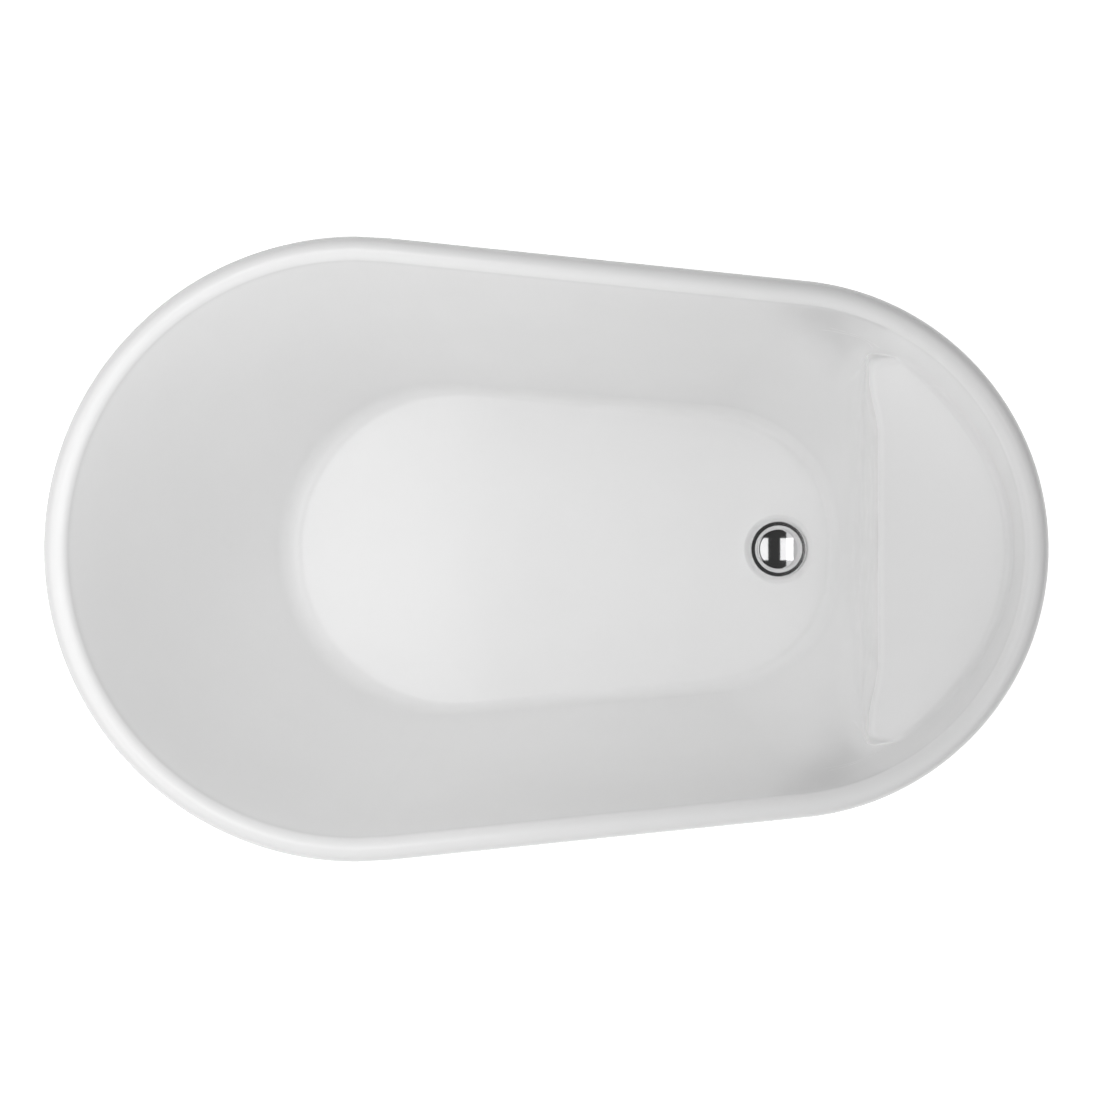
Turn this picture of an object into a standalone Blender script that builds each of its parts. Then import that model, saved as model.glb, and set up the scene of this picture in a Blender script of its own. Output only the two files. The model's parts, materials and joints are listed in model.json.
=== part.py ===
"""Freestanding acrylic bathtub: inner basin with a foot-end ledge, tucked-in outer skirt,
steel under-frame on four levelling feet, and a toe-tap waste.

Metres, +Z up. The origin is the centre of the footprint on the floor, and +X points to the
ledge and waste end.
"""
import math

import bmesh
import bpy
import numpy as np
from mathutils import Matrix, Vector

# ---- driving dimensions -------------------------------------------------------------------
LENGTH = 1.220                # over the rim, head end to foot end
HEAD_RADIUS = 0.3797          # plan radius of the wide head end
FOOT_RADIUS = 0.3274          # plan radius of the narrow foot end
RIM_TOP_Z = 0.600
SHELL = 0.005                 # reinforced acrylic
GAP = 0.0003                  # between pieces that touch

RIM_WIDTH = 0.030
RIM_CROWN = 0.014             # height of the rolled rim above its edges
LIP_DROP = 0.012              # the roll's outer lip below its widest line
LEDGE_Z = 0.530
LEDGE_FRONT_X = 0.4055
LEDGE_EAR = 0.0116            # how far the ledge's front corners stand ahead of its middle
LEDGE_FRONT_FOOT_X = 0.384    # the same front wall at floor level
LEDGE_SIDE_Y = 0.2235         # the ledge's short sides, where it ends beside the walls
LEDGE_CORNER_R = 0.021        # its front corners, in plan
LEDGE_EDGE_R = 0.012          # the rolled edge over its front and short sides
SIDE_STEEPNESS = 3.0          # of the short sides below that edge
LEDGE_BACK_BULGE = 0.014      # the steeper wall behind the ledge
FLOOR_Z = 0.1765              # floor height at the middle of the tub
FLOOR_FALL = 0.011            # fall of the floor to the waste, per metre
FLOOR_HEAD = (-0.124, 0.202)  # plan centre and radius where wall and floor planes meet
FLOOR_FOOT = (0.197, 0.177)

SKIRT_TUCK = SHELL + 0.0008   # the skirt's top stands inside the rolled rim
SKIRT_INSET = 0.085           # how much smaller the base is, all round
SKIRT_BASE_Z = 0.008
SKIRT_RETURN = 0.022          # flange turned in along the base

DRAIN_X = 0.2945
HOLE_R = 0.0255
SEAT_R = 0.038
RECESS_R = 0.044
SEAT_DEPTH = 0.003
FLANGE_R = 0.0355
CAP_R = 0.030
CAP_HEIGHT = 0.0088           # above the flange
CAP_FLAT_R = 0.160            # curve of the cap's middle, up to the slope below
CAP_SLOPES = (0.147, 0.866)   # sines of the cap's slope where its middle and its edge end
CAP_WALL = 0.0016

BOARD = 0.012
RAIL = 0.020
CROSS = 0.025
TUBE_WALL = 0.002
RAIL_Y = 0.100
RAIL_ENDS = (-0.260, 0.235)
FOOT_PLACES = ((-0.235, 0.200), (-0.235, -0.200), (0.215, 0.165), (0.215, -0.165))
STUD_R = 0.00585
PAD_R = 0.025
PAD_HEIGHT = 0.012

HEAD_X = -LENGTH / 2 + HEAD_RADIUS
FOOT_X = LENGTH / 2 - FOOT_RADIUS
WALL_TOP_Z = RIM_TOP_Z - RIM_CROWN
RIM = (HEAD_X, HEAD_RADIUS, FOOT_X, FOOT_RADIUS)
WALL_TOP = (HEAD_X, HEAD_RADIUS - RIM_WIDTH, FOOT_X, FOOT_RADIUS - RIM_WIDTH)
WALL_FOOT = (*FLOOR_HEAD, *FLOOR_FOOT)
LEAN = math.asin((HEAD_RADIUS - FOOT_RADIUS) / (FOOT_X - HEAD_X))   # of the straight sides
SEAT_Z = FLOOR_Z - FLOOR_FALL * DRAIN_X - SEAT_DEPTH
FLANGE_TOP = SEAT_Z + 0.0046

# ---- resolution ---------------------------------------------------------------------------
FOOT_ARC = 32                 # segments round the foot end, closer at the ledge's corners
SIDE = 3                      # segments along each straight side
HEAD_ARC = 18
ROUND = 24                    # segments round a turned piece

tub = bpy.data.collections.new("freestanding_bathtub")
cutters = bpy.data.collections.new("cutters")


def clear_scene():
    for obj in list(bpy.data.objects):
        bpy.data.objects.remove(obj, do_unlink=True)
    for group in (tub, cutters):
        bpy.context.scene.collection.children.link(group)


def make_material(name, colour, roughness, metallic=0.0):
    made = bpy.data.materials.new(name)
    made.use_nodes = True
    shader = made.node_tree.nodes["Principled BSDF"]
    shader.inputs["Base Color"].default_value = (*colour, 1.0)
    shader.inputs["Roughness"].default_value = roughness
    shader.inputs["Metallic"].default_value = metallic
    return made


ACRYLIC = make_material("white_acrylic", (0.86, 0.86, 0.86), 0.12)
CHROME = make_material("polished_chrome", (0.80, 0.80, 0.81), 0.05, 1.0)
BRASS = make_material("brass", (0.72, 0.56, 0.28), 0.30, 1.0)
STEEL = make_material("galvanised_steel", (0.55, 0.56, 0.57), 0.45, 1.0)
RUBBER = make_material("black_rubber", (0.03, 0.03, 0.03), 0.80)
PLASTIC = make_material("white_plastic", (0.75, 0.75, 0.74), 0.45)
PLYWOOD = make_material("plywood", (0.62, 0.47, 0.30), 0.70)


# ---- shared shapes ------------------------------------------------------------------------
def add_object(name, mesh, material, place=(0, 0, 0)):
    """Put a mesh into the tub's collection, with smooth faces and crisp edges."""
    obj = bpy.data.objects.new(name, mesh)
    mesh.materials.clear()
    mesh.materials.append(material)
    obj.location = place
    tub.objects.link(obj)
    mesh.shade_smooth()
    mesh.set_sharp_from_angle(angle=math.radians(35))
    return obj


def bmesh_object(name, shape, material, place=(0, 0, 0)):
    mesh = bpy.data.meshes.new(name)
    shape.to_mesh(mesh)
    shape.free()
    return add_object(name, mesh, material, place)


def turned(name, profile, material, place=(DRAIN_X, 0, 0), steps=ROUND):
    """Screw a closed (radius, height) outline, listed down its outer side, about Z."""
    mesh = bpy.data.meshes.new(name)
    count = len(profile)
    edges = [(i, (i + 1) % count) for i in range(count)]
    mesh.from_pydata([(r, 0, z) for r, z in profile], edges, [])
    obj = add_object(name, mesh, material, place)
    screw = obj.modifiers.new("turn", "SCREW")
    screw.steps = steps
    screw.render_steps = steps
    screw.use_merge_vertices = True
    screw.merge_threshold = 0.00001
    screw.use_smooth_shade = True
    return obj


def ring_profile(inner, outer, low, high):
    return [(outer, high), (outer, low), (inner, low), (inner, high)]


def cut(obj, cutter):
    """Subtract a cutter, which stays out of the model."""
    tub.objects.unlink(cutter)
    cutters.objects.link(cutter)
    cutter.hide_render = True
    cutter.display_type = "WIRE"
    boolean = obj.modifiers.new("cut_" + cutter.name, "BOOLEAN")
    boolean.operation = "DIFFERENCE"
    boolean.object = cutter


def cylinder(name, radius, low, high, material, place, segments=ROUND):
    shape = bmesh.new()
    bmesh.ops.create_cone(shape, cap_ends=True, segments=segments, radius1=radius,
                          radius2=radius, depth=high - low)
    bmesh.ops.translate(shape, verts=shape.verts, vec=(0, 0, (low + high) / 2))
    return bmesh_object(name, shape, material, place)


def box(name, size, centre, material):
    shape = bmesh.new()
    bmesh.ops.create_cube(shape, size=1.0)
    bmesh.ops.scale(shape, vec=size, verts=shape.verts)
    return bmesh_object(name, shape, material, centre)


def flat_plate(name, outlines, thickness, material):
    """Extrude 2D outlines equally to both sides, as a mesh lying at the origin."""
    curve = bpy.data.curves.new(name, "CURVE")
    curve.dimensions = "2D"
    curve.fill_mode = "BOTH"
    curve.extrude = thickness / 2
    for outline in outlines:
        spline = curve.splines.new("POLY")
        spline.points.add(len(outline) - 1)
        for point, (x, y) in zip(spline.points, outline):
            point.co = (x, y, 0, 1)
        spline.use_cyclic_u = True
    source = bpy.data.objects.new(name + "_outline", curve)
    bpy.context.scene.collection.objects.link(source)
    depsgraph = bpy.context.evaluated_depsgraph_get()
    mesh = bpy.data.meshes.new_from_object(source.evaluated_get(depsgraph))
    bpy.data.objects.remove(source)
    shape = bmesh.new()
    shape.from_mesh(mesh)
    bmesh.ops.remove_doubles(shape, verts=shape.verts, dist=0.00001)
    bpy.data.meshes.remove(mesh)
    return bmesh_object(name, shape, material)


def rounded_square(size, radius, steps=2):
    """Corner points of a rounded square, counter-clockwise."""
    half = size / 2 - radius
    points = []
    for corner in range(4):
        centre = Vector((half, half)) if corner == 0 else centre.orthogonal()
        for step in range(steps + 1):
            angle = math.radians(90 * corner + 90 * step / steps)
            points.append((centre.x + radius * math.cos(angle),
                           centre.y + radius * math.sin(angle)))
    return points


def square_tube(name, size, length, along, centre, tilt=0.0):
    """An open-ended square steel tube along X or Y."""
    tube = flat_plate(name, [rounded_square(size, 0.003),
                             rounded_square(size - 2 * TUBE_WALL, 0.0015)], length, STEEL)
    turn = Matrix.Rotation(math.radians(90), 4, "Y" if along == "X" else "X")
    tube.data.transform(turn)
    tube.location = centre
    tube.rotation_euler = (0, tilt, 0)
    return tube


def hex_nut(name, across, bore, low, high, material, place):
    nut = cylinder(name, across / math.sqrt(3), low, high, material, place, segments=6)
    cut(nut, cylinder(name + "_bore", bore, low - 0.01, high + 0.01, material, place, 20))
    return nut


# ---- the plan outline and the basin's walls -----------------------------------------------
def foot_parts():
    """Places round the foot end, from -1 to 1, closer together at the ledge's corners."""
    fine = np.linspace(-1, 1, 401)
    crowd = 1 + 3 * np.exp(-((np.abs(fine) - 0.665) / 0.08) ** 2)
    share = np.concatenate([[0], np.cumsum((crowd[1:] + crowd[:-1]) / 2)])
    return np.interp(np.arange(FOOT_ARC) / FOOT_ARC, share / share[-1], fine)


def stations():
    """Where each column of the loft stands: the arc it is on and how far along.

    Two columns stand where the rim is widest.
    """
    foot = [("foot", part) for part in foot_parts()]
    left = [("left", i / SIDE) for i in range(SIDE)]
    widest = (math.pi / 2) / (math.pi / 2 + LEAN)
    inner = HEAD_ARC - 2
    head = [("head", -1)] + [("head", widest * (2 * i / inner - 1)) for i in range(inner + 1)]
    right = [("right", i / SIDE) for i in range(SIDE)]
    return foot + left + head + right


def outline(section):
    """Hull of two circles (head x, head radius, foot x, foot radius), one point a station."""
    head_x, head_r, foot_x, foot_r = section
    lean = math.asin((head_r - foot_r) / (foot_x - head_x))
    foot_half = math.pi / 2 - lean
    head_half = math.pi / 2 + lean

    def on_foot(part):
        angle = part * foot_half
        return np.array((foot_x + foot_r * math.cos(angle), foot_r * math.sin(angle)))

    def on_head(part):
        angle = math.pi + part * head_half
        return np.array((head_x + head_r * math.cos(angle), head_r * math.sin(angle)))

    points = []
    for place, part in stations():
        if place == "foot":
            points.append(on_foot(part))
        elif place == "head":
            points.append(on_head(part))
        elif place == "left":
            points.append((1 - part) * on_foot(1) + part * on_head(-1))
        else:
            points.append((1 - part) * on_head(1) + part * on_foot(-1))
    return np.array(points)


def inset(section, distance):
    head_x, head_r, foot_x, foot_r = section
    return (head_x, head_r - distance, foot_x, foot_r - distance)


def blend(first, last, part):
    return tuple(a + (b - a) * part for a, b in zip(first, last))


def smooth_min(a, b, width):
    overlap = np.clip(1 - np.abs(a - b) / width, 0, None)
    return np.minimum(a, b) - overlap ** 2 * width / 4


def smooth_step(value):
    value = np.clip(value, 0, 1)
    return value * value * (3 - 2 * value)


def floor_z(x):
    return FLOOR_Z - FLOOR_FALL * x


def wall_outline(depth):
    """Plan outline of the bare wall at a depth of 0, the rim, to 1, the floor.

    The wall is a little steeper at the top: depth = 1.15 f - 0.15 f^2.
    """
    steep, curl = 1.15, 0.15
    part = (steep - math.sqrt(steep * steep - 4 * curl * depth)) / (2 * curl)
    return outline(blend(WALL_TOP, WALL_FOOT, part))


def depth_at(z):
    """Share of the wall's height below the rim's inner edge."""
    return (WALL_TOP_Z - z) / (WALL_TOP_Z - FLOOR_Z)


LEDGE_DEPTH = depth_at(LEDGE_Z)


def wall_above_ledge(depth):
    """The wall from the rim to the ledge's level, standing steeper behind the ledge."""
    points = wall_outline(depth)
    angle = np.arctan2(points[:, 1], points[:, 0] - FOOT_X)
    near_end = np.clip(1 - np.abs(angle) / math.radians(55), 0, 1)
    bulge = LEDGE_BACK_BULGE * np.sin(near_end * math.pi / 2) ** 2
    points[:, 0] += bulge * depth / LEDGE_DEPTH
    return points


def ledge_front(y):
    """The ledge's front edge, standing forward in an ear at each end."""
    return LEDGE_FRONT_X - LEDGE_EAR * smooth_step((np.abs(y) - 0.140) / 0.075)


def wall_below_ledge(depth):
    """The wall from the ledge's level to the floor, cut off at the foot by the ledge's front."""
    points = wall_outline(depth)
    down = (depth - LEDGE_DEPTH) / (1 - LEDGE_DEPTH)
    edge = ledge_front(points[:, 1] * (1 + 0.35 * down))
    front = edge + (LEDGE_FRONT_FOOT_X - edge) * down
    points[:, 0] = smooth_min(points[:, 0], front, 0.020 + 0.025 * down)
    return points


def bowl_height(points):
    """Height of the plain wall at plan points, found by halving the range of its depth."""
    along, across = points[:, 0], np.abs(points[:, 1])
    low, high = np.zeros(len(points)), np.ones(len(points))
    for _ in range(26):
        part = (low + high) / 2
        head_x, head_r, foot_x, foot_r = blend(WALL_TOP, WALL_FOOT, part)
        sine = (head_r - foot_r) / (foot_x - head_x)
        cosine = np.sqrt(1 - sine ** 2)
        past = (along - head_x) * cosine - across * sine
        reach = (foot_x - head_x) * cosine
        side = across * cosine + (along - head_x) * sine - head_r
        at_head = np.hypot(along - head_x, across) - head_r
        at_foot = np.hypot(along - foot_x, across) - foot_r
        inside = np.where(past < 0, at_head, np.where(past > reach, at_foot, side)) < 0
        low, high = np.where(inside, part, low), np.where(inside, high, part)
    return WALL_TOP_Z - (1.15 * low - 0.15 * low ** 2) * (WALL_TOP_Z - FLOOR_Z)


def ledge_drop(points):
    """How far the ledge has rolled off at plan points: 0 on it, more past its edges."""
    beside = np.abs(points[:, 1]) - LEDGE_SIDE_Y + LEDGE_CORNER_R
    ahead = ledge_front(points[:, 1]) - points[:, 0] + LEDGE_CORNER_R
    outside = (np.hypot(np.maximum(beside, 0), np.maximum(ahead, 0))
               + np.minimum(np.maximum(beside, ahead), 0) - LEDGE_CORNER_R)
    rolled = np.clip(outside, 0, LEDGE_EDGE_R * math.sin(math.atan(SIDE_STEEPNESS)))
    roll = LEDGE_EDGE_R - np.sqrt(LEDGE_EDGE_R ** 2 - rolled ** 2)
    return roll + SIDE_STEEPNESS * (np.maximum(outside, rolled) - rolled)


def ledge_rows(back, count):
    """Rows across the ledge; past its short sides they run on down the plain wall instead."""
    rim = outline(RIM)
    steps = np.linalg.norm(np.roll(rim, -1, axis=0) - rim, axis=1)
    around = np.concatenate([[0], np.cumsum(steps)[:-1]])
    around = np.abs(around - around[np.argmax(rim[:, 0])])
    around = np.minimum(around, steps.sum() - around)
    slide = 0.09 * smooth_step((around - 0.335) / 0.25)
    front = plan_at(depth_at(LEDGE_Z - slide))
    rows = []
    for step in range(1, count + 1):
        points = back[:, :2] + (front - back[:, :2]) * step / count
        height = np.clip(bowl_height(points), LEDGE_Z - ledge_drop(points), LEDGE_Z)
        rows.append(with_height(points, height))
    return rows


def with_height(points, z):
    z = np.broadcast_to(z, len(points))
    return np.column_stack([points, z])


def basin_profiles():
    """Sharp-cornered profiles, one a station, as rows from the rim's lip to the waste hole.

    Returns the rows, and which of them are the lip, the crown and the places where it turns.
    """
    rows = [with_height(outline(RIM), WALL_TOP_Z - LIP_DROP)]
    turns = {"lip": 0, "crown": 7}
    for step in range(13):
        angle = math.pi * step / 12
        across = RIM_WIDTH / 2 * (1 - math.cos(angle))
        rows.append(with_height(outline(inset(RIM, across)),
                                WALL_TOP_Z + RIM_CROWN * math.sin(angle)))
    turns["rim"] = len(rows) - 1
    for step in range(1, 5):
        z = WALL_TOP_Z + (LEDGE_Z - WALL_TOP_Z) * step / 4
        rows.append(with_height(wall_above_ledge(depth_at(z)), z))
    turns["ledge_back"] = len(rows) - 1
    rows += ledge_rows(rows[-1], 12)
    turns["ledge_front"] = len(rows) - 1
    edge, start_z = rows[-1][:, :2], rows[-1][:, 2]
    beside = edge - plan_at(depth_at(start_z))
    corner_z = floor_z(wall_below_ledge(1.0)[:, 0])
    for step in range(1, 21):
        z = start_z + (corner_z - start_z) * step / 20
        left = np.clip(1 - (start_z - z) / 0.10, 0, 1) ** 2
        rows.append(with_height(plan_at(depth_at(z)) + beside * left[:, None], z))
    turns["floor"] = len(rows) - 1
    recess = round_waste(RECESS_R)
    rows.append(with_height(recess, floor_z(recess[:, 0])))
    turns["recess"] = len(rows) - 1
    rows.append(with_height(round_waste(SEAT_R), SEAT_Z))
    turns["seat"] = len(rows) - 1
    rows.append(with_height(round_waste(HOLE_R), SEAT_Z))
    turns["hole"] = len(rows) - 1
    return np.array(rows), turns


def plan_at(depths):
    """Wall points below the ledge where every station has its own depth."""
    levels = np.linspace(LEDGE_DEPTH, 1, 33)
    stack = np.array([wall_below_ledge(level) for level in levels])
    points = np.empty((len(depths), 2))
    for i, depth in enumerate(depths):
        for axis in (0, 1):
            points[i, axis] = np.interp(depth, levels, stack[:, i, axis])
    return points


def round_waste(radius):
    """A circle round the waste, one point a station, spread as the floor's outline is."""
    around = outline(WALL_FOOT) - np.array((DRAIN_X - 0.10, 0))
    angle = np.arctan2(around[:, 1], around[:, 0])
    return np.column_stack([DRAIN_X + radius * np.cos(angle), radius * np.sin(angle)])


def rounded_rows(rows, turns, rings):
    """Resample every profile at the rings, rounding its corners by averaging along it.

    A ring is (turn before, turn after, share of the way, offset, half-width of the average).
    """
    lengths = np.linalg.norm(np.diff(rows, axis=0), axis=2)
    along = np.vstack([np.zeros(rows.shape[1]), np.cumsum(lengths, axis=0)])
    spread = np.linspace(-1, 1, 9)
    result = []
    for before, after, share, offset, half in rings:
        start, end = along[turns[before]], along[turns[after]]
        room = end - start
        shift = np.sign(offset) * np.minimum(abs(offset), 0.3 * room)
        place = start + share * room + shift
        ring = np.empty((rows.shape[1], 3))
        for i in range(rows.shape[1]):
            reach = min(half, place[i], along[-1, i] - place[i])
            at = place[i] + spread * reach
            ring[i] = [np.interp(at, along[:, i], rows[:, i, axis]).mean() for axis in range(3)]
        result.append(ring)
    return result


def loft(name, rings, material, thickness):
    """Join closed rings into an open surface and give it a thickness behind its faces."""
    count = len(rings[0])
    verts = [tuple(point) for ring in rings for point in ring]
    faces = []
    for row in range(len(rings) - 1):
        for i in range(count):
            j = (i + 1) % count
            faces.append((row * count + i, row * count + j,
                          (row + 1) * count + j, (row + 1) * count + i))
    mesh = bpy.data.meshes.new(name)
    mesh.from_pydata(verts, [], faces)
    obj = add_object(name, mesh, material)
    solidify = obj.modifiers.new("thickness", "SOLIDIFY")
    solidify.thickness = thickness
    solidify.offset = -1
    return obj


# ---- sub-parts ----------------------------------------------------------------------------
def make_basin():
    rows, turns = basin_profiles()
    rings = [("lip", "crown", share, 0.0, 0.0) for share in (0.0, 0.33, 0.56, 0.78)]
    rings += [("crown", "rim", share, 0.0, 0.0) for share in (0.0, 0.35, 0.70)]
    rings += [("rim", "ledge_back", 0.0, 0.0, 0.003)]
    rings += [("rim", "ledge_back", 1.0, offset, 0.010) for offset in (-0.010, 0.0)]
    rings += [("ledge_back", "ledge_front", 0.0, 0.010, 0.010)]
    rings += [("ledge_back", "ledge_front", share, 0.0, 0.004) for share in (0.5, 0.75)]
    rings += [("ledge_back", "ledge_front", 1.0, offset, 0.008) for offset in (-0.010, 0.0)]
    rings += [("ledge_front", "floor", 0.0, 0.010, 0.008)]
    rings += [("ledge_front", "floor", share, 0.0, 0.001) for share in (0.2, 0.45, 0.7)]
    rings += [("ledge_front", "floor", 1.0, offset, 0.020) for offset in (-0.020, -0.007)]
    rings += [("floor", "recess", 0.0, offset, 0.020) for offset in (0.007, 0.022)]
    rings += [("floor", "recess", 1.0, 0.0, 0.0), ("recess", "seat", 1.0, 0.0, 0.0),
              ("seat", "hole", 1.0, 0.0, 0.0)]
    loft("basin_shell", rounded_rows(rows, turns, rings), ACRYLIC, SHELL)


def make_skirt():
    """A tapering skirt whose top stands inside the rolled rim and whose base turns in."""
    top, base = WALL_TOP_Z - 0.001, SKIRT_BASE_Z
    rings = []
    for step in range(6):
        part = step / 5
        taper = SKIRT_TUCK + (SKIRT_INSET - SKIRT_TUCK) * part ** 1.15
        rings.append(with_height(outline(inset(RIM, taper)), top + (base - top) * part))
    rings.append(with_height(outline(inset(RIM, SKIRT_INSET + SKIRT_RETURN)), base))
    loft("outer_skirt", rings[::-1], ACRYLIC, SHELL)


def underside(x):
    """Level of the under-floor board's top: just below the basin's floor."""
    return floor_z(x) - SHELL - GAP


def make_boards():
    slope = math.atan(FLOOR_FALL)
    board = flat_plate("floor_board", [outline((-0.124, 0.150, 0.105, 0.140))], BOARD, PLYWOOD)
    board.location.z = underside(0) - BOARD / 2
    board.rotation_euler = (0, slope, 0)
    for x, y in tab_places():
        cut(board, cylinder("pilot", 0.0023, 0.12, 0.20, PLYWOOD, (x, y, 0), 12))
    half_angle, segments = math.radians(57), 12
    crescent = []
    for step in range(segments + 1):
        angle = half_angle * (2 * step / segments - 1)
        crescent.append((0.300 + 0.235 * math.cos(angle), 0.235 * math.sin(angle)))
    ledge = flat_plate("ledge_board", [crescent], BOARD, PLYWOOD)
    ledge.location.z = LEDGE_Z - SHELL - GAP - BOARD / 2


def rail_centre_z(x):
    return underside(x) - BOARD - GAP - RAIL / 2


def cross_centre_z(x):
    return rail_centre_z(x) - RAIL / 2 - GAP - CROSS / 2 - 0.0002


def tab_places():
    return [(x, side * (RAIL_Y + RAIL / 2 + GAP + 0.010))
            for side in (1, -1) for x in (-0.190, -0.040, 0.110)]


def make_frame():
    slope = math.atan(FLOOR_FALL)
    middle = sum(RAIL_ENDS) / 2
    for side, y in (("left", RAIL_Y), ("right", -RAIL_Y)):
        square_tube("frame_rail_" + side, RAIL, RAIL_ENDS[1] - RAIL_ENDS[0], "X",
                    (middle, y, rail_centre_z(middle)), slope)
    ends = (("head", FOOT_PLACES[0][0], 2 * FOOT_PLACES[0][1] + 0.05),
            ("middle", -0.010, 2 * RAIL_Y + 0.03),
            ("foot", FOOT_PLACES[2][0], 2 * FOOT_PLACES[2][1] + 0.05))
    for name, x, length in ends:
        tube = square_tube("frame_cross_" + name, CROSS, length, "Y", (x, 0, cross_centre_z(x)))
        for foot_x, foot_y in FOOT_PLACES:
            if foot_x == x:
                low = cross_centre_z(x) - CROSS / 2
                cut(tube, cylinder("stud_hole", STUD_R + 0.0007, low - 0.01, low + 0.01, STEEL,
                                   (x, foot_y, 0), 20))


def make_tabs_and_screws():
    for number, (x, y) in enumerate(tab_places(), 1):
        top = underside(x + 0.015) - BOARD - GAP
        tab = box("frame_tab_%d" % number, (0.030, 0.020, 0.003), (x, y, top - 0.0015), STEEL)
        cut(tab, cylinder("tab_hole", 0.0023, 0.10, 0.20, STEEL, (x, y, 0), 12))
        head_top = top - 0.003 - GAP
        turned("frame_screw_%d" % number,
               [(0, top + 0.010), (0.0010, top + 0.0085), (0.0020, top + 0.006),
                (0.0020, head_top), (0.0048, head_top), (0.0044, head_top - 0.0018),
                (0.0026, head_top - 0.0030), (0, head_top - 0.0030)],
               STEEL, (x, y, 0), 10)


def make_feet():
    for number, (x, y) in enumerate(FOOT_PLACES, 1):
        low = cross_centre_z(x) - CROSS / 2
        place = (x, y, 0)
        top = low + TUBE_WALL + 0.012
        turned("foot_stud_%d" % number,
               [(0, top), (STUD_R - 0.001, top), (STUD_R, top - 0.001),
                (STUD_R, 0.0345), (0.0085, 0.0335), (0.0085, 0.0265), (STUD_R, 0.0255),
                (STUD_R, 0.0063), (0, 0.0063)], STEEL, place, 20)
        turned("foot_pad_%d" % number,
               [(0.0095, PAD_HEIGHT), (0.020, 0.0085), (PAD_R, 0.005), (PAD_R, 0.0),
                (0, 0.0), (0, 0.006), (STUD_R + GAP, 0.006), (STUD_R + GAP, PAD_HEIGHT)],
               RUBBER, place, 20)
        weld_top = low - GAP
        hex_nut("foot_weld_nut_%d" % number, 0.019, STUD_R + GAP, weld_top - 0.010, weld_top,
                STEEL, place)
        lock_top = weld_top - 0.010 - GAP
        hex_nut("foot_lock_nut_%d" % number, 0.019, STUD_R + GAP, lock_top - 0.006, lock_top,
                STEEL, place)


def make_waste():
    """The flanged body with its four arms, its seals and nuts, and the tail pipe."""
    top = FLANGE_TOP
    outer, inner, low = 0.0235, 0.0205, top - 0.056
    body = turned("drain_body",
                  [(0.0240, top), (0.0347, top), (0.0353, top - 0.0004), (FLANGE_R, top - 0.0012),
                   (FLANGE_R, SEAT_Z + 0.0021), (outer, SEAT_Z + 0.0021), (outer, low),
                   (inner, low), (inner, top - 0.0041)], CHROME, steps=32)
    boss_low, boss_high = top - 0.0209, top - 0.0144
    join(body, cylinder("boss", 0.0092, boss_low, boss_high, CHROME, (DRAIN_X, 0, 0), 24))
    arm_low, arm_high = top - 0.0201, top - 0.0090
    near, far = 0.0088, inner + 0.00125
    for x, y in ((1, 0), (0, 1), (-1, 0), (0, -1)):
        size = (far - near if x else 0.004, far - near if y else 0.004, arm_high - arm_low)
        middle = (near + far) / 2
        centre = (DRAIN_X + x * middle, y * middle, (arm_low + arm_high) / 2)
        join(body, box("arm", size, centre, CHROME))
    cut(body, cylinder("boss_bore", 0.0062, boss_low - 0.01, boss_high + 0.005, CHROME,
                       (DRAIN_X, 0, 0), 24))

    turned("drain_upper_seal", ring_profile(0.0240, 0.0345, SEAT_Z + GAP, SEAT_Z + 0.0018),
           RUBBER)
    below = SEAT_Z - SHELL - GAP
    turned("drain_lower_gasket", ring_profile(0.0238, 0.0340, below - 0.004, below), RUBBER)
    below -= 0.004 + GAP
    turned("drain_friction_washer", ring_profile(0.0238, 0.0335, below - 0.0015, below), PLASTIC)
    below -= 0.0015 + GAP
    hex_nut("drain_lock_nut", 0.060, 0.0238, below - 0.009, below, BRASS, (DRAIN_X, 0, 0))

    turned("tail_washer", ring_profile(0.0175, 0.0228, low - 0.0018, low - GAP), RUBBER)
    flange = low - 0.0021
    turned("tail_pipe", [(0.0225, flange), (0.0225, flange - 0.002), (0.0190, flange - 0.002),
                         (0.0190, 0.060), (0.0172, 0.060), (0.0172, flange)], BRASS)
    lip = flange - 0.0023
    turned("tail_nut", [(0.0238, low + 0.011), (0.0290, low + 0.011), (0.0300, low + 0.009),
                        (0.0300, lip - 0.001), (0.0290, lip - 0.0022), (0.0193, lip - 0.0022),
                        (0.0193, lip), (0.0238, lip)], BRASS)


def join(obj, extra):
    """Weld a helper shape onto a piece."""
    tub.objects.unlink(extra)
    cutters.objects.link(extra)
    extra.hide_render = True
    extra.display_type = "WIRE"
    boolean = obj.modifiers.new("join_" + extra.name, "BOOLEAN")
    boolean.operation = "UNION"
    boolean.object = extra


def cap_point(apex, sine, depth):
    """Where the cap slopes by an angle: on a flat arc over its middle, a tight one at its edge."""
    flat, steep = CAP_SLOPES
    curve = (CAP_R - CAP_FLAT_R * flat) / (steep - flat)
    inner, outer = min(sine, flat), max(sine, flat)
    radius = CAP_FLAT_R * inner + curve * (outer - flat)
    drop = (CAP_FLAT_R * (1 - math.sqrt(1 - inner ** 2))
            + curve * (math.sqrt(1 - flat ** 2) - math.sqrt(1 - outer ** 2)))
    return radius - depth * sine, apex - drop - depth * math.sqrt(1 - sine ** 2)


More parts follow.
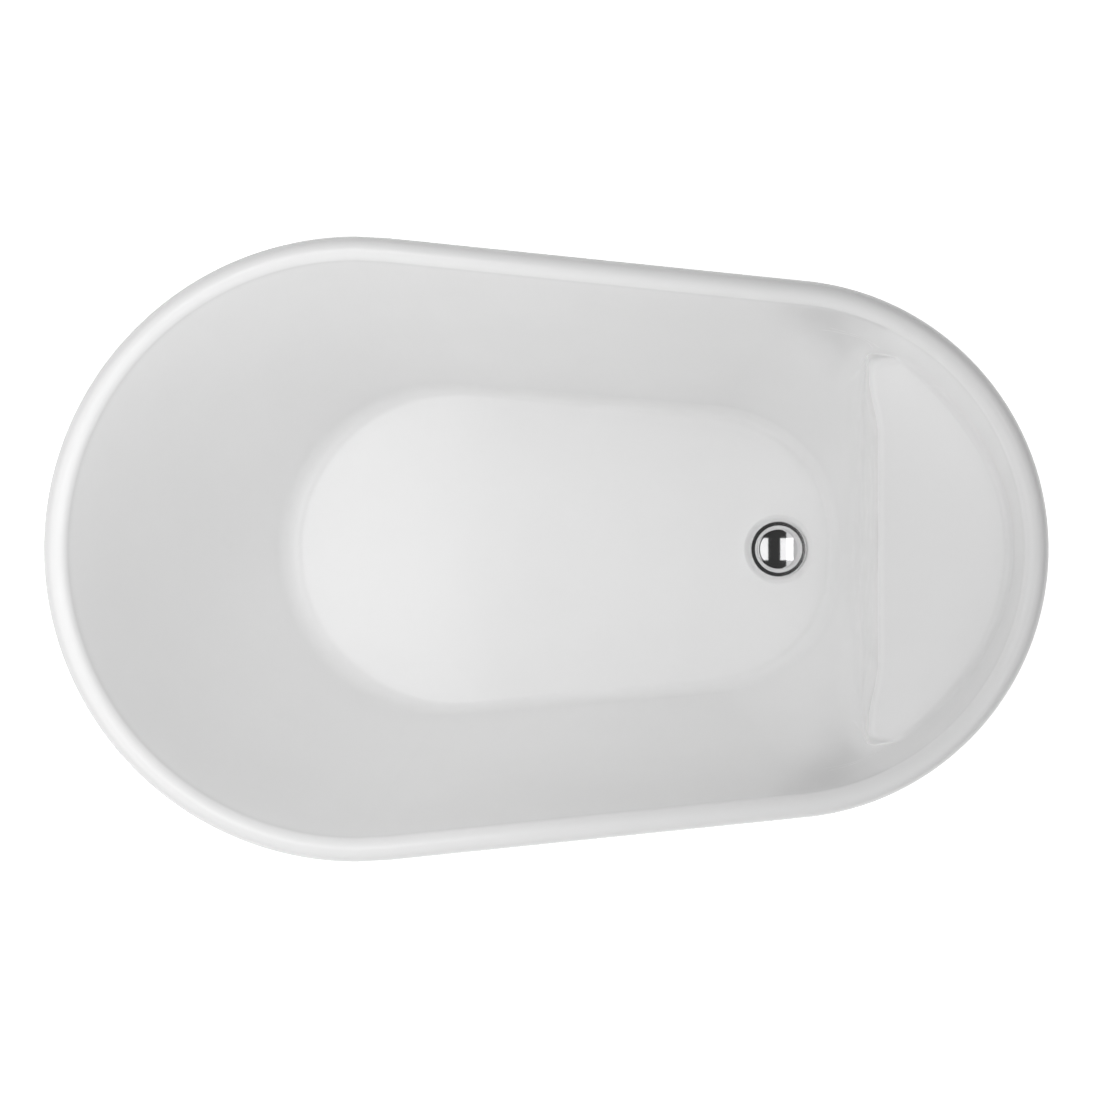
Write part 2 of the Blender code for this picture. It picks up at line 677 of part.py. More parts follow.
def make_stopper():
    """The toe-tap stopper: cap, seal and plunger rise together out of a fixed cartridge."""
    top = FLANGE_TOP
    turned("stopper_guide",
           [(0.0042, top - 0.0046), (0.0059, top - 0.0046), (0.0059, top - 0.0111),
            (0.0085, top - 0.0111), (0.0085, top - 0.0141), (0.0059, top - 0.0141),
            (0.0059, top - 0.048), (0, top - 0.048), (0, top - 0.046), (0.0042, top - 0.046)],
           BRASS, steps=24)
    seal_top = top + 0.0003
    turned("stopper_plunger",
           [(0, seal_top + 0.0060), (0.0036, seal_top + 0.0060), (0.0036, top - 0.0020),
            (0.0065, top - 0.0020), (0.0065, top - 0.0033), (0.0039, top - 0.0033),
            (0.0039, top - 0.0262), (0, top - 0.0262)], BRASS, steps=24)
    turned("stopper_seal", ring_profile(0.0039, 0.0222, top - 0.0017, seal_top), RUBBER)
    cap_low, apex = top + 0.0006, top + CAP_HEIGHT
    outside = [cap_point(apex, sine, 0) for sine in (0, 0.05, 0.10, 0.147, 0.34, 0.54, 0.72, 0.866)]
    inside = [cap_point(apex, sine, CAP_WALL) for sine in (0.80, 0.60, 0.38, 0.147, 0.066)]
    hub = [(0.0100, cap_low), (0.0039, cap_low), (0.0039, seal_top + 0.0064),
           (0, seal_top + 0.0064)]
    turned("stopper_cap", outside + [(CAP_R, cap_low), (inside[0][0], cap_low)] + inside + hub,
           CHROME, steps=32)
    make_spring(top - 0.0457, top - 0.0265)


def make_spring(low, high):
    turns, per_turn, radius, wire = 4, 8, 0.0030, 0.00045
    count = turns * per_turn
    curve = bpy.data.curves.new("stopper_spring", "CURVE")
    curve.dimensions = "3D"
    curve.bevel_depth = wire
    curve.bevel_resolution = 2
    curve.use_fill_caps = True
    spline = curve.splines.new("POLY")
    spline.points.add(count)
    for i, point in enumerate(spline.points):
        angle = 2 * math.pi * i / per_turn
        height = low + wire + (high - low - 2 * wire) * i / count
        point.co = (radius * math.cos(angle), radius * math.sin(angle), height, 1)
    curve.materials.append(STEEL)
    spring = bpy.data.objects.new("stopper_spring", curve)
    spring.location = (DRAIN_X, 0, 0)
    tub.objects.link(spring)


clear_scene()
make_basin()
make_skirt()
make_boards()
make_frame()
make_tabs_and_screws()
make_feet()
make_waste()
make_stopper()
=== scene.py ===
"""Looks of the freestanding bathtub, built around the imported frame. Metres, +Z up."""
import json
import math

import bmesh
import bpy
import numpy as np
from mathutils import Matrix, Vector

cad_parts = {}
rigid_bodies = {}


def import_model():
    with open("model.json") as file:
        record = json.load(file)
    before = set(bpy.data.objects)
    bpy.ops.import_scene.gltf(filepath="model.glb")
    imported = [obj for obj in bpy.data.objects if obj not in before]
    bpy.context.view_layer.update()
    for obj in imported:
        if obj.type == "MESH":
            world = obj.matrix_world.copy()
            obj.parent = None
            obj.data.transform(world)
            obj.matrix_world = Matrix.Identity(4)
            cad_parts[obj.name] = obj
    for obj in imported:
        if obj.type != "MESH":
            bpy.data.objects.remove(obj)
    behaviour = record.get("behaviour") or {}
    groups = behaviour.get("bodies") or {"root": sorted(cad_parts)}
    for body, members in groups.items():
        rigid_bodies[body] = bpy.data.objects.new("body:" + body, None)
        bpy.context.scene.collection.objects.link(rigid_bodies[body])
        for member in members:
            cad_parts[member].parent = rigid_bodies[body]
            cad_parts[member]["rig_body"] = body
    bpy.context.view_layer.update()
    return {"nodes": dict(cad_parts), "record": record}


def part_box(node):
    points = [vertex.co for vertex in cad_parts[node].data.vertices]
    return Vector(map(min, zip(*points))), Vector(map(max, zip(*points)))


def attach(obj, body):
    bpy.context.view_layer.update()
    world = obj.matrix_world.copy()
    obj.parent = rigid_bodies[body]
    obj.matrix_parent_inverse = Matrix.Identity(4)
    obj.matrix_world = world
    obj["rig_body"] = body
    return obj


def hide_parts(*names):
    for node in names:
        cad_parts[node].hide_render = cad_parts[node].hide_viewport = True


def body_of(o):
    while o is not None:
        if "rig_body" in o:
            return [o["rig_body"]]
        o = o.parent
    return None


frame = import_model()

NODES = frame["nodes"]

# ---- dimensions, as the frame has them ------------------------------------------------------
LENGTH, WIDTH = 1.220, 0.7594
FOOT_RADIUS = 0.3274
RIM_TOP_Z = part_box("basin_shell")[1].z
HEAD_RADIUS = WIDTH / 2
HEAD_X = -LENGTH / 2 + HEAD_RADIUS
FOOT_X = LENGTH / 2 - FOOT_RADIUS
SHELL = 0.005
RIM_WIDTH, RIM_CROWN, LIP_DROP = 0.030, 0.014, 0.012
WALL_TOP_Z = RIM_TOP_Z - RIM_CROWN
LEDGE_Z = 0.530
LEDGE_FRONT_X, LEDGE_FRONT_FOOT_X = 0.4055, 0.384
LEDGE_EAR = 0.0116            # how far the ledge's front corners stand ahead of its middle
LEDGE_EAR_START, LEDGE_EAR_RUN = 0.140, 0.075
LEDGE_SIDE_Y, LEDGE_CORNER_R, LEDGE_EDGE_R = 0.2235, 0.021, 0.012
LEDGE_BACK_BULGE = 0.014
LEDGE_SLIDE = 0.09            # how far the rows past the ledge's sides run down the wall
LEDGE_SLIDE_START, LEDGE_SLIDE_RUN = 0.335, 0.25    # round the rim from its foot end
SIDE_STEEPNESS = 3.0          # of the ledge's short sides, where they stand clear of the wall
FLOOR_Z, FLOOR_FALL = 0.1765, 0.011
RIM = (HEAD_X, HEAD_RADIUS, FOOT_X, FOOT_RADIUS)
WALL_TOP = (HEAD_X, HEAD_RADIUS - RIM_WIDTH, FOOT_X, FOOT_RADIUS - RIM_WIDTH)
WALL_FOOT = (-0.124, 0.202, 0.197, 0.177)
WALL_STEEP, WALL_CURL = 1.15, 0.15    # the wall's depth is 1.15 f - 0.15 f^2 of the way f inwards
LEAN = math.asin((HEAD_RADIUS - FOOT_RADIUS) / (FOOT_X - HEAD_X))
SKIRT_TUCK, SKIRT_INSET, SKIRT_RETURN = SHELL + 0.0008, 0.085, 0.022
SKIRT_BASE_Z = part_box("outer_skirt")[0].z
DRAIN_X = 0.2945
HOLE_R, SEAT_R, RECESS_R, SEAT_DEPTH = 0.0255, 0.038, 0.044, 0.003
SEAT_Z = FLOOR_Z - FLOOR_FALL * DRAIN_X - SEAT_DEPTH
FLANGE_TOP = SEAT_Z + 0.0046
FLANGE_R, BARREL_R, BORE_R = 0.0355, 0.0235, 0.0205
BARREL_LOW = FLANGE_TOP - 0.056
CAP_R, CAP_HEIGHT, CAP_FLAT_R, CAP_WALL = 0.030, 0.0088, 0.160, 0.0016
CAP_SLOPES = (0.147, 0.866)   # sines of the slope where the cap's middle and its edge end
GAP = 0.0003                  # between pieces that touch
STUD_R, PAD_R, PAD_HEIGHT = 0.00585, 0.025, 0.012
NUT_ACROSS = 0.019            # flats of the feet's M12 nuts

FOOT_ARC, SIDE, HEAD_ARC = 320, 36, 160      # columns of the fine basin and skirt


# ---- materials -------------------------------------------------------------------------------
class Nodes:
    """A small helper round a material's node tree."""

    def __init__(self, name):
        self.material = bpy.data.materials.new(name)
        self.material.use_nodes = True
        self.tree = self.material.node_tree
        self.shader = self.tree.nodes["Principled BSDF"]
        self.where = self.add("ShaderNodeTexCoord").outputs["Object"]

    def add(self, kind, **settings):
        node = self.tree.nodes.new(kind)
        for key, value in settings.items():
            setattr(node, key, value)
        return node

    def link(self, source, target):
        self.tree.links.new(source, target)

    def noise(self, scale, detail=3.0, roughness=0.5, vector=None):
        node = self.add("ShaderNodeTexNoise")
        node.inputs["Scale"].default_value = scale
        node.inputs["Detail"].default_value = detail
        node.inputs["Roughness"].default_value = roughness
        self.link(vector or self.where, node.inputs["Vector"])
        return node.outputs["Fac"]

    def ramp(self, value, low, high, out_low, out_high):
        node = self.add("ShaderNodeMapRange")
        for key, number in (("From Min", low), ("From Max", high), ("To Min", out_low),
                            ("To Max", out_high)):
            node.inputs[key].default_value = number
        self.link(value, node.inputs["Value"])
        return node.outputs["Result"]

    def mix(self, factor, first, second):
        node = self.add("ShaderNodeMix", data_type="RGBA")
        self.link(factor, node.inputs["Factor"])
        for socket, colour in ((node.inputs[6], first), (node.inputs[7], second)):
            if isinstance(colour, tuple):
                socket.default_value = (*colour, 1.0)
            else:
                self.link(colour, socket)
        return node.outputs[2]

    def bump(self, height, strength, distance):
        node = self.add("ShaderNodeBump")
        node.inputs["Strength"].default_value = strength
        node.inputs["Distance"].default_value = distance
        self.link(height, node.inputs["Height"])
        self.link(node.outputs["Normal"], self.shader.inputs["Normal"])

    def scaled(self, x, y, z):
        node = self.add("ShaderNodeMapping")
        node.inputs["Scale"].default_value = (x, y, z)
        self.link(self.where, node.inputs["Vector"])
        return node.outputs["Vector"]

    def set(self, **values):
        for key, value in values.items():
            self.shader.inputs[key.replace("_", " ")].default_value = value
        return self


def acrylic():
    """Glossy white cast acrylic: faint cloudiness and a trace of forming ripple."""
    m = Nodes("white_acrylic").set(IOR=1.49)
    cloud = m.ramp(m.noise(6.0, 4.0), 0.3, 0.7, 0.0, 1.0)
    m.link(m.mix(cloud, (0.890, 0.890, 0.890), (0.905, 0.905, 0.905)),
           m.shader.inputs["Base Color"])
    m.link(m.ramp(m.noise(35.0, 5.0), 0.3, 0.7, 0.10, 0.15), m.shader.inputs["Roughness"])
    m.bump(m.noise(22.0, 2.0), 0.10, 0.0004)
    return m.material


def glass_mat():
    """The backs of the shells: chopped glass strands under polyester resin."""
    m = Nodes("glass_fibre_back").set(IOR=1.5)
    strands = m.noise(140.0, 2.0, 0.6, m.scaled(1.0, 6.0, 3.0))
    crossed = m.noise(140.0, 2.0, 0.6, m.scaled(6.0, 1.0, 3.0))
    both = m.add("ShaderNodeMath", operation="MAXIMUM")
    m.link(strands, both.inputs[0])
    m.link(crossed, both.inputs[1])
    shade = m.ramp(both.outputs[0], 0.45, 0.70, 0.0, 1.0)
    m.link(m.mix(shade, (0.50, 0.50, 0.42), (0.72, 0.72, 0.66)), m.shader.inputs["Base Color"])
    m.link(m.ramp(shade, 0.0, 1.0, 0.55, 0.35), m.shader.inputs["Roughness"])
    m.bump(shade, 0.7, 0.0008)
    return m.material


def chrome():
    m = Nodes("polished_chrome").set(Metallic=1.0)
    fine = m.noise(900.0, 3.0)
    m.link(m.mix(m.ramp(m.noise(60.0), 0.3, 0.7, 0.0, 1.0), (0.83, 0.83, 0.84),
                 (0.88, 0.88, 0.885)), m.shader.inputs["Base Color"])
    m.link(m.ramp(fine, 0.35, 0.65, 0.035, 0.07), m.shader.inputs["Roughness"])
    m.bump(fine, 0.05, 0.00005)
    return m.material


def brass():
    m = Nodes("turned_brass").set(Metallic=1.0)
    rings = m.noise(500.0, 2.0, 0.5, m.scaled(0.05, 0.05, 6.0))
    tarnish = m.ramp(m.noise(45.0, 5.0), 0.35, 0.7, 0.0, 1.0)
    m.link(m.mix(tarnish, (0.76, 0.58, 0.28), (0.55, 0.40, 0.20)),
           m.shader.inputs["Base Color"])
    m.link(m.ramp(tarnish, 0.0, 1.0, 0.22, 0.42), m.shader.inputs["Roughness"])
    m.bump(rings, 0.15, 0.0001)
    return m.material


def galvanised():
    """Zinc-coated steel with its crystal spangle."""
    m = Nodes("galvanised_steel").set(Metallic=1.0)
    cells = m.add("ShaderNodeTexVoronoi")
    cells.inputs["Scale"].default_value = 130.0
    m.link(m.where, cells.inputs["Vector"])
    grey = m.add("ShaderNodeRGBToBW")
    m.link(cells.outputs["Color"], grey.inputs["Color"])
    m.link(m.mix(grey.outputs["Val"], (0.48, 0.49, 0.50), (0.66, 0.67, 0.68)),
           m.shader.inputs["Base Color"])
    m.link(m.ramp(grey.outputs["Val"], 0.0, 1.0, 0.36, 0.55), m.shader.inputs["Roughness"])
    m.bump(m.noise(260.0), 0.15, 0.0002)
    return m.material


def rubber():
    m = Nodes("black_rubber")
    dust = m.ramp(m.noise(70.0, 5.0), 0.4, 0.75, 0.0, 1.0)
    m.link(m.mix(dust, (0.022, 0.022, 0.023), (0.055, 0.054, 0.052)),
           m.shader.inputs["Base Color"])
    m.link(m.ramp(dust, 0.0, 1.0, 0.62, 0.85), m.shader.inputs["Roughness"])
    m.bump(m.noise(700.0, 2.0), 0.3, 0.0002)
    return m.material


def nylon():
    m = Nodes("white_nylon").set(Subsurface_Weight=0.05)
    cloud = m.noise(80.0, 3.0)
    m.link(m.mix(cloud, (0.70, 0.70, 0.68), (0.80, 0.80, 0.78)), m.shader.inputs["Base Color"])
    m.link(m.ramp(cloud, 0.3, 0.7, 0.38, 0.50), m.shader.inputs["Roughness"])
    m.bump(m.noise(500.0), 0.1, 0.0001)
    return m.material


def plywood():
    """Birch plywood: long grain on the faces and plies along the edges."""
    m = Nodes("birch_plywood")
    grain = m.noise(30.0, 6.0, 0.6, m.scaled(1.0, 14.0, 1.0))
    plies = m.add("ShaderNodeTexWave", wave_type="BANDS", bands_direction="Z")
    plies.inputs["Scale"].default_value = 130.0
    plies.inputs["Distortion"].default_value = 0.6
    m.link(m.where, plies.inputs["Vector"])
    face = m.mix(m.ramp(grain, 0.35, 0.65, 0.0, 1.0), (0.56, 0.40, 0.24), (0.72, 0.57, 0.38))
    m.link(m.mix(m.ramp(plies.outputs["Fac"], 0.2, 0.8, 0.0, 0.35), face, (0.40, 0.27, 0.15)),
           m.shader.inputs["Base Color"])
    m.link(m.ramp(grain, 0.0, 1.0, 0.75, 0.55), m.shader.inputs["Roughness"])
    m.bump(grain, 0.3, 0.0003)
    return m.material


ACRYLIC, GLASS_MAT, CHROME, BRASS = acrylic(), glass_mat(), chrome(), brass()
STEEL, RUBBER, NYLON, PLYWOOD = galvanised(), rubber(), nylon(), plywood()
SLOT_LOOKS = {"acrylic": ACRYLIC, "chrome": CHROME, "brass": BRASS, "steel": STEEL,
              "rubber": RUBBER, "nylon": NYLON, "plywood": PLYWOOD}


def dress_cad_nodes():
    """Give every carried-over CAD node the look of its slot."""
    for entry in frame["record"]["subparts"]:
        mesh = NODES[entry["node"]].data
        mesh.materials.clear()
        mesh.materials.append(SLOT_LOOKS[entry["material_slot"]])


# ---- mesh helpers ----------------------------------------------------------------------------
def add_piece(name, mesh, materials, body, replaced=None):
    obj = bpy.data.objects.new(name, mesh)
    bpy.context.scene.collection.objects.link(obj)
    mesh.materials.clear()
    for material in materials:
        mesh.materials.append(material)
    mesh.shade_smooth()
    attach(obj, body)
    if replaced:
        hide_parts(replaced)
    return obj


def ring_mesh(name, rings, closed=False):
    """Quads between rings of points that have the same count."""
    count = len(rings[0])
    verts = np.concatenate(rings)
    faces = []
    rows = len(rings)
    for row in range(rows if closed else rows - 1):
        below = (row + 1) % rows
        for i in range(count):
            j = (i + 1) % count
            faces.append((row * count + i, row * count + j, below * count + j,
                          below * count + i))
    mesh = bpy.data.meshes.new(name)
    mesh.from_pydata(verts.tolist(), [], faces)
    return mesh


# ---- the basin and the skirt -----------------------------------------------------------------
def foot_parts():
    """Places round the foot end, packed closely where the ledge's corners are."""
    fine = np.linspace(-1, 1, 2001)
    crowd = 1 + 5 * np.exp(-((np.abs(fine) - 0.665) / 0.07) ** 2)
    share = np.concatenate([[0], np.cumsum((crowd[1:] + crowd[:-1]) / 2)])
    return np.interp(np.arange(FOOT_ARC) / FOOT_ARC, share / share[-1], fine)


def stations():
    """Where each column stands: the arc it is on and how far along."""
    foot = [("foot", part) for part in foot_parts()]
    left = [("left", i / SIDE) for i in range(SIDE)]
    widest = (math.pi / 2) / (math.pi / 2 + LEAN)
    inner = HEAD_ARC - 2
    head = [("head", -1)] + [("head", widest * (2 * i / inner - 1)) for i in range(inner + 1)]
    right = [("right", i / SIDE) for i in range(SIDE)]
    return foot + left + head + right


STATIONS = stations()


def outline(section):
    """Hull of two circles (head x, head radius, foot x, foot radius), one point a station."""
    head_x, head_r, foot_x, foot_r = section
    lean = math.asin((head_r - foot_r) / (foot_x - head_x))
    foot_half, head_half = math.pi / 2 - lean, math.pi / 2 + lean

    def on_foot(part):
        angle = part * foot_half
        return np.array((foot_x + foot_r * math.cos(angle), foot_r * math.sin(angle)))

    def on_head(part):
        angle = math.pi + part * head_half
        return np.array((head_x + head_r * math.cos(angle), head_r * math.sin(angle)))

    points = []
    for place, part in STATIONS:
        if place == "foot":
            points.append(on_foot(part))
        elif place == "head":
            points.append(on_head(part))
        elif place == "left":
            points.append((1 - part) * on_foot(1) + part * on_head(-1))
        else:
            points.append((1 - part) * on_head(1) + part * on_foot(-1))
    return np.array(points)


def inset(section, distance):
    head_x, head_r, foot_x, foot_r = section
    return (head_x, head_r - distance, foot_x, foot_r - distance)


def smooth_min(a, b, width):
    overlap = np.clip(1 - np.abs(a - b) / width, 0, None)
    return np.minimum(a, b) - overlap ** 2 * width / 4


def smooth_step(value):
    value = np.clip(value, 0, 1)
    return value * value * (3 - 2 * value)


def floor_z(x):
    return FLOOR_Z - FLOOR_FALL * x


def depth_at(z):
    """Share of the wall's height below the rim's inner edge."""
    return (WALL_TOP_Z - z) / (WALL_TOP_Z - FLOOR_Z)


LEDGE_DEPTH = depth_at(LEDGE_Z)


def wall_outline(depth):
    """Plan outline of the bare wall, which is a little steeper at the top."""
    root = math.sqrt(WALL_STEEP * WALL_STEEP - 4 * WALL_CURL * depth)
    part = (WALL_STEEP - root) / (2 * WALL_CURL)
    section = [a + (b - a) * part for a, b in zip(WALL_TOP, WALL_FOOT)]
    return outline(section)


def wall_above_ledge(depth):
    points = wall_outline(depth)
    angle = np.arctan2(points[:, 1], points[:, 0] - FOOT_X)
    near_end = np.clip(1 - np.abs(angle) / math.radians(55), 0, 1)
    bulge = LEDGE_BACK_BULGE * np.sin(near_end * math.pi / 2) ** 2
    points[:, 0] += bulge * depth / LEDGE_DEPTH
    return points


def ledge_front(y):
    """The ledge's front edge, standing forward in an ear at each end."""
    return LEDGE_FRONT_X - LEDGE_EAR * smooth_step((np.abs(y) - LEDGE_EAR_START)
                                                   / LEDGE_EAR_RUN)


def wall_below_ledge(depth):
    points = wall_outline(depth)
    down = (depth - LEDGE_DEPTH) / (1 - LEDGE_DEPTH)
    front = ledge_front(points[:, 1] * (1 + 0.35 * down)) * (1 - down) + LEDGE_FRONT_FOOT_X * down
    points[:, 0] = smooth_min(points[:, 0], front, 0.020 + 0.025 * down)
    return points


LEVELS = np.linspace(LEDGE_DEPTH, 1, 65)
BELOW = np.array([wall_below_ledge(level) for level in LEVELS])


def plan_at(depths):
    """Wall points below the ledge where every column has its own depth."""
    place = np.clip((depths - LEVELS[0]) / (LEVELS[1] - LEVELS[0]), 0, len(LEVELS) - 1.001)
    row = place.astype(int)
    part = (place - row)[:, None]
    column = np.arange(len(depths))
    return BELOW[row, column] * (1 - part) + BELOW[row + 1, column] * part


def with_height(points, z):
    return np.column_stack([points, np.broadcast_to(z, len(points))])


def bowl_height(points):
    """Height of the plain wall at plan points, found by halving the range of its depth."""
    along, across = points[:, 0], np.abs(points[:, 1])
    low, high = np.zeros(len(points)), np.ones(len(points))
    for _ in range(26):
        part = (low + high) / 2
        head_x, head_r, foot_x, foot_r = [a + (b - a) * part for a, b in zip(WALL_TOP, WALL_FOOT)]
        sine = (head_r - foot_r) / (foot_x - head_x)
        cosine = np.sqrt(1 - sine ** 2)
        past = (along - head_x) * cosine - across * sine
        reach = (foot_x - head_x) * cosine
        side = across * cosine + (along - head_x) * sine - head_r
        at_head = np.hypot(along - head_x, across) - head_r
        at_foot = np.hypot(along - foot_x, across) - foot_r
        inside = np.where(past < 0, at_head, np.where(past > reach, at_foot, side)) < 0
        low, high = np.where(inside, part, low), np.where(inside, high, part)
    return WALL_TOP_Z - (WALL_STEEP * low - WALL_CURL * low ** 2) * (WALL_TOP_Z - FLOOR_Z)


def ledge_drop(points):
    """How far the ledge has rolled off at plan points: 0 on it, more past its rounded corners."""
    beside = np.abs(points[:, 1]) - LEDGE_SIDE_Y + LEDGE_CORNER_R
    ahead = ledge_front(points[:, 1]) - points[:, 0] + LEDGE_CORNER_R
    outside = (np.hypot(np.maximum(beside, 0), np.maximum(ahead, 0))
               + np.minimum(np.maximum(beside, ahead), 0) - LEDGE_CORNER_R)
    lean = math.atan(SIDE_STEEPNESS)
    rolled = np.clip(outside, 0, LEDGE_EDGE_R * math.sin(lean))
    roll = LEDGE_EDGE_R - np.sqrt(LEDGE_EDGE_R ** 2 - rolled ** 2)
    return roll + SIDE_STEEPNESS * (np.maximum(outside, rolled) - rolled)


def ledge_height(points):
    return np.clip(bowl_height(points), LEDGE_Z - ledge_drop(points), LEDGE_Z)


def ledge_rows(back, count):
    """Rows across the ledge; past its sides they run down the plain wall instead."""
    rim = outline(RIM)
    steps = np.linalg.norm(np.roll(rim, -1, axis=0) - rim, axis=1)
    around = np.concatenate([[0], np.cumsum(steps)[:-1]])
    around = np.abs(around - around[np.argmax(rim[:, 0])])
    around = np.minimum(around, steps.sum() - around)
    slide = LEDGE_SLIDE * smooth_step((around - LEDGE_SLIDE_START) / LEDGE_SLIDE_RUN)
    front = plan_at(depth_at(LEDGE_Z - slide))
    rows = []
    for step in range(1, count + 1):
        points = back[:, :2] + (front - back[:, :2]) * step / count
        rows.append(with_height(points, ledge_height(points)))
    return rows


def round_waste(radius):
    around = outline(WALL_FOOT) - np.array((DRAIN_X - 0.10, 0))
    angle = np.arctan2(around[:, 1], around[:, 0])
    return np.column_stack([DRAIN_X + radius * np.cos(angle), radius * np.sin(angle)])


def basin_profiles():
    """Sharp-cornered rows from the rim's lip to the waste hole, and where they turn."""
    rows = [with_height(outline(RIM), WALL_TOP_Z - LIP_DROP)]
    arc = 24
    turns = {"lip": 0, "crown": 1 + arc // 2}
    for step in range(arc + 1):
        angle = math.pi * step / arc
        across = RIM_WIDTH / 2 * (1 - math.cos(angle))
        rows.append(with_height(outline(inset(RIM, across)),
                                WALL_TOP_Z + RIM_CROWN * math.sin(angle)))
    turns["rim"] = len(rows) - 1
    for step in range(1, 7):
        z = WALL_TOP_Z + (LEDGE_Z - WALL_TOP_Z) * step / 6
        rows.append(with_height(wall_above_ledge(depth_at(z)), z))
    turns["ledge_back"] = len(rows) - 1
    rows += ledge_rows(rows[-1], 16)
    turns["ledge_front"] = len(rows) - 1
    edge, start_z = rows[-1][:, :2], rows[-1][:, 2]
    beside = edge - plan_at(depth_at(start_z))
    corner_z = floor_z(wall_below_ledge(1.0)[:, 0])
    for step in range(1, 41):
        z = start_z + (corner_z - start_z) * step / 40
        left = np.clip(1 - (start_z - z) / 0.10, 0, 1) ** 2
        rows.append(with_height(plan_at(depth_at(z)) + beside * left[:, None], z))
    turns["floor"] = len(rows) - 1
    recess = round_waste(RECESS_R)
    rows.append(with_height(recess, floor_z(recess[:, 0])))
    turns["recess"] = len(rows) - 1
    rows.append(with_height(round_waste(SEAT_R), SEAT_Z))
    turns["seat"] = len(rows) - 1
    rows.append(with_height(round_waste(HOLE_R), SEAT_Z))
    turns["hole"] = len(rows) - 1
    return np.array(rows), turns


# Half the stretch of profile that each turn's rounding is averaged over.
ROUNDING = {"lip": 0.0, "crown": 0.0, "rim": 0.004, "ledge_back": 0.010, "ledge_front": 0.009,
            "floor": 0.020, "recess": 0.0012, "seat": 0.0012, "hole": 0.0}


def span(before, after, first, last, count):
    """Rings at even shares of the way from one turn to the next."""
    return [(before, after, share, 0.0) for share in np.linspace(first, last, count)]


def corner(before, turn, after, reach, count):
    """Rings packed closely either side of a turn, never past 0.3 of a side."""
    steps = [reach * (2 * i / (count - 1) - 1) for i in range(count)]
    return [(before, turn, 1.0, step) if step < 0 else (turn, after, 0.0, step)
            for step in steps]


def resampled(rows, turns, rings, rounding):
    """Take every profile at the rings, rounding its turns by averaging along it."""
    lengths = np.linalg.norm(np.diff(rows, axis=0), axis=2)
    along = np.vstack([np.zeros(rows.shape[1]), np.cumsum(lengths, axis=0)])
    spread = np.linspace(-1, 1, 13)
    result = np.empty((len(rings), rows.shape[1], 3))
    names = sorted(turns, key=turns.get)
    halves = [rounding[name] for name in names]
    for i in range(rows.shape[1]):
        line = along[:, i]
        place = []
        for before, after, share, offset in rings:
            start, end = line[turns[before]], line[turns[after]]
            shift = math.copysign(min(abs(offset), 0.3 * (end - start)), offset)
            place.append(start + share * (end - start) + shift)
        place = np.sort(place)
        reach = np.interp(place, line[[turns[name] for name in names]], halves)
        reach = np.minimum(reach, np.minimum(place, line[-1] - place))
        at = place[:, None] + reach[:, None] * spread
        for axis in range(3):
            result[:, i, axis] = np.interp(at, line, rows[:, i, axis]).mean(axis=1)
    return result


def make_basin():
    rows, turns = basin_profiles()
    rings = span("lip", "crown", 0.0, 1.0, 13)
    rings += span("crown", "rim", 0.1, 0.85, 9)
    rings += span("rim", "ledge_back", 0.0, 0.68, 9)
    rings += corner("rim", "ledge_back", "ledge_front", 0.011, 11)
    rings += span("ledge_back", "ledge_front", 0.32, 0.68, 11)
    rings += corner("ledge_back", "ledge_front", "floor", 0.011, 13)
    rings += span("ledge_front", "floor", 0.06, 0.92, 28)
    rings += corner("ledge_front", "floor", "recess", 0.024, 15)
    rings += span("floor", "recess", 0.34, 0.94, 16)
    rings += corner("floor", "recess", "seat", 0.0015, 5)
    rings += corner("recess", "seat", "hole", 0.0015, 5)
    rings += span("seat", "hole", 0.5, 1.0, 2)
    mesh = ring_mesh("basin_and_rim", list(resampled(rows, turns, rings, ROUNDING)))
    basin = add_piece("basin_and_rim", mesh, [ACRYLIC, GLASS_MAT], "tub",
                      "basin_shell")
    thicken(basin)


def thicken(obj):
    solid = obj.modifiers.new("thickness", "SOLIDIFY")
    solid.thickness = SHELL
    solid.offset = -1
    solid.material_offset = 1


def make_skirt():
    top, base = WALL_TOP_Z - 0.001, SKIRT_BASE_Z
    rows = []
    for part in np.linspace(0, 1, 40):
        taper = SKIRT_TUCK + (SKIRT_INSET - SKIRT_TUCK) * part ** 1.15
        rows.append(with_height(outline(inset(RIM, taper)), top + (base - top) * part))
    turns = {"top": 0, "base": len(rows) - 1}
    rows.append(with_height(outline(inset(RIM, SKIRT_INSET + SKIRT_RETURN)), base))
    turns["return"] = len(rows) - 1
    rings = span("top", "base", 0.0, 0.96, 30)
    rings += corner("top", "base", "return", 0.005, 9)
    rings += span("base", "return", 0.5, 1.0, 3)
    rounding = {"top": 0.0, "base": 0.004, "return": 0.0}
    mesh = ring_mesh("skirt", list(resampled(np.array(rows), turns, rings, rounding))[::-1])
    skirt = add_piece("skirt", mesh, [ACRYLIC, GLASS_MAT], "tub", "outer_skirt")
    thicken(skirt)


# ---- turned and bevelled parts ----------------------------------------------------------------
def rounded_profile(points, radius, steps=4):
    """Round every corner of a closed (radius, height) outline."""
    result = []
    count = len(points)
    for i, point in enumerate(points):
        here = Vector(point)
        back, ahead = Vector(points[i - 1]) - here, Vector(points[(i + 1) % count]) - here
        on_axis = abs(here.x) < 1e-7
        reach = min(radius, back.length * 0.45, ahead.length * 0.45)
        if on_axis or reach < 1e-6:
            result.append(tuple(here))
            continue
        start, end = here + back.normalized() * reach, here + ahead.normalized() * reach
        for step in range(steps + 1):
            part = step / steps
            result.append(tuple(start * (1 - part) ** 2 + here * 2 * part * (1 - part)
                                + end * part ** 2))
    return result


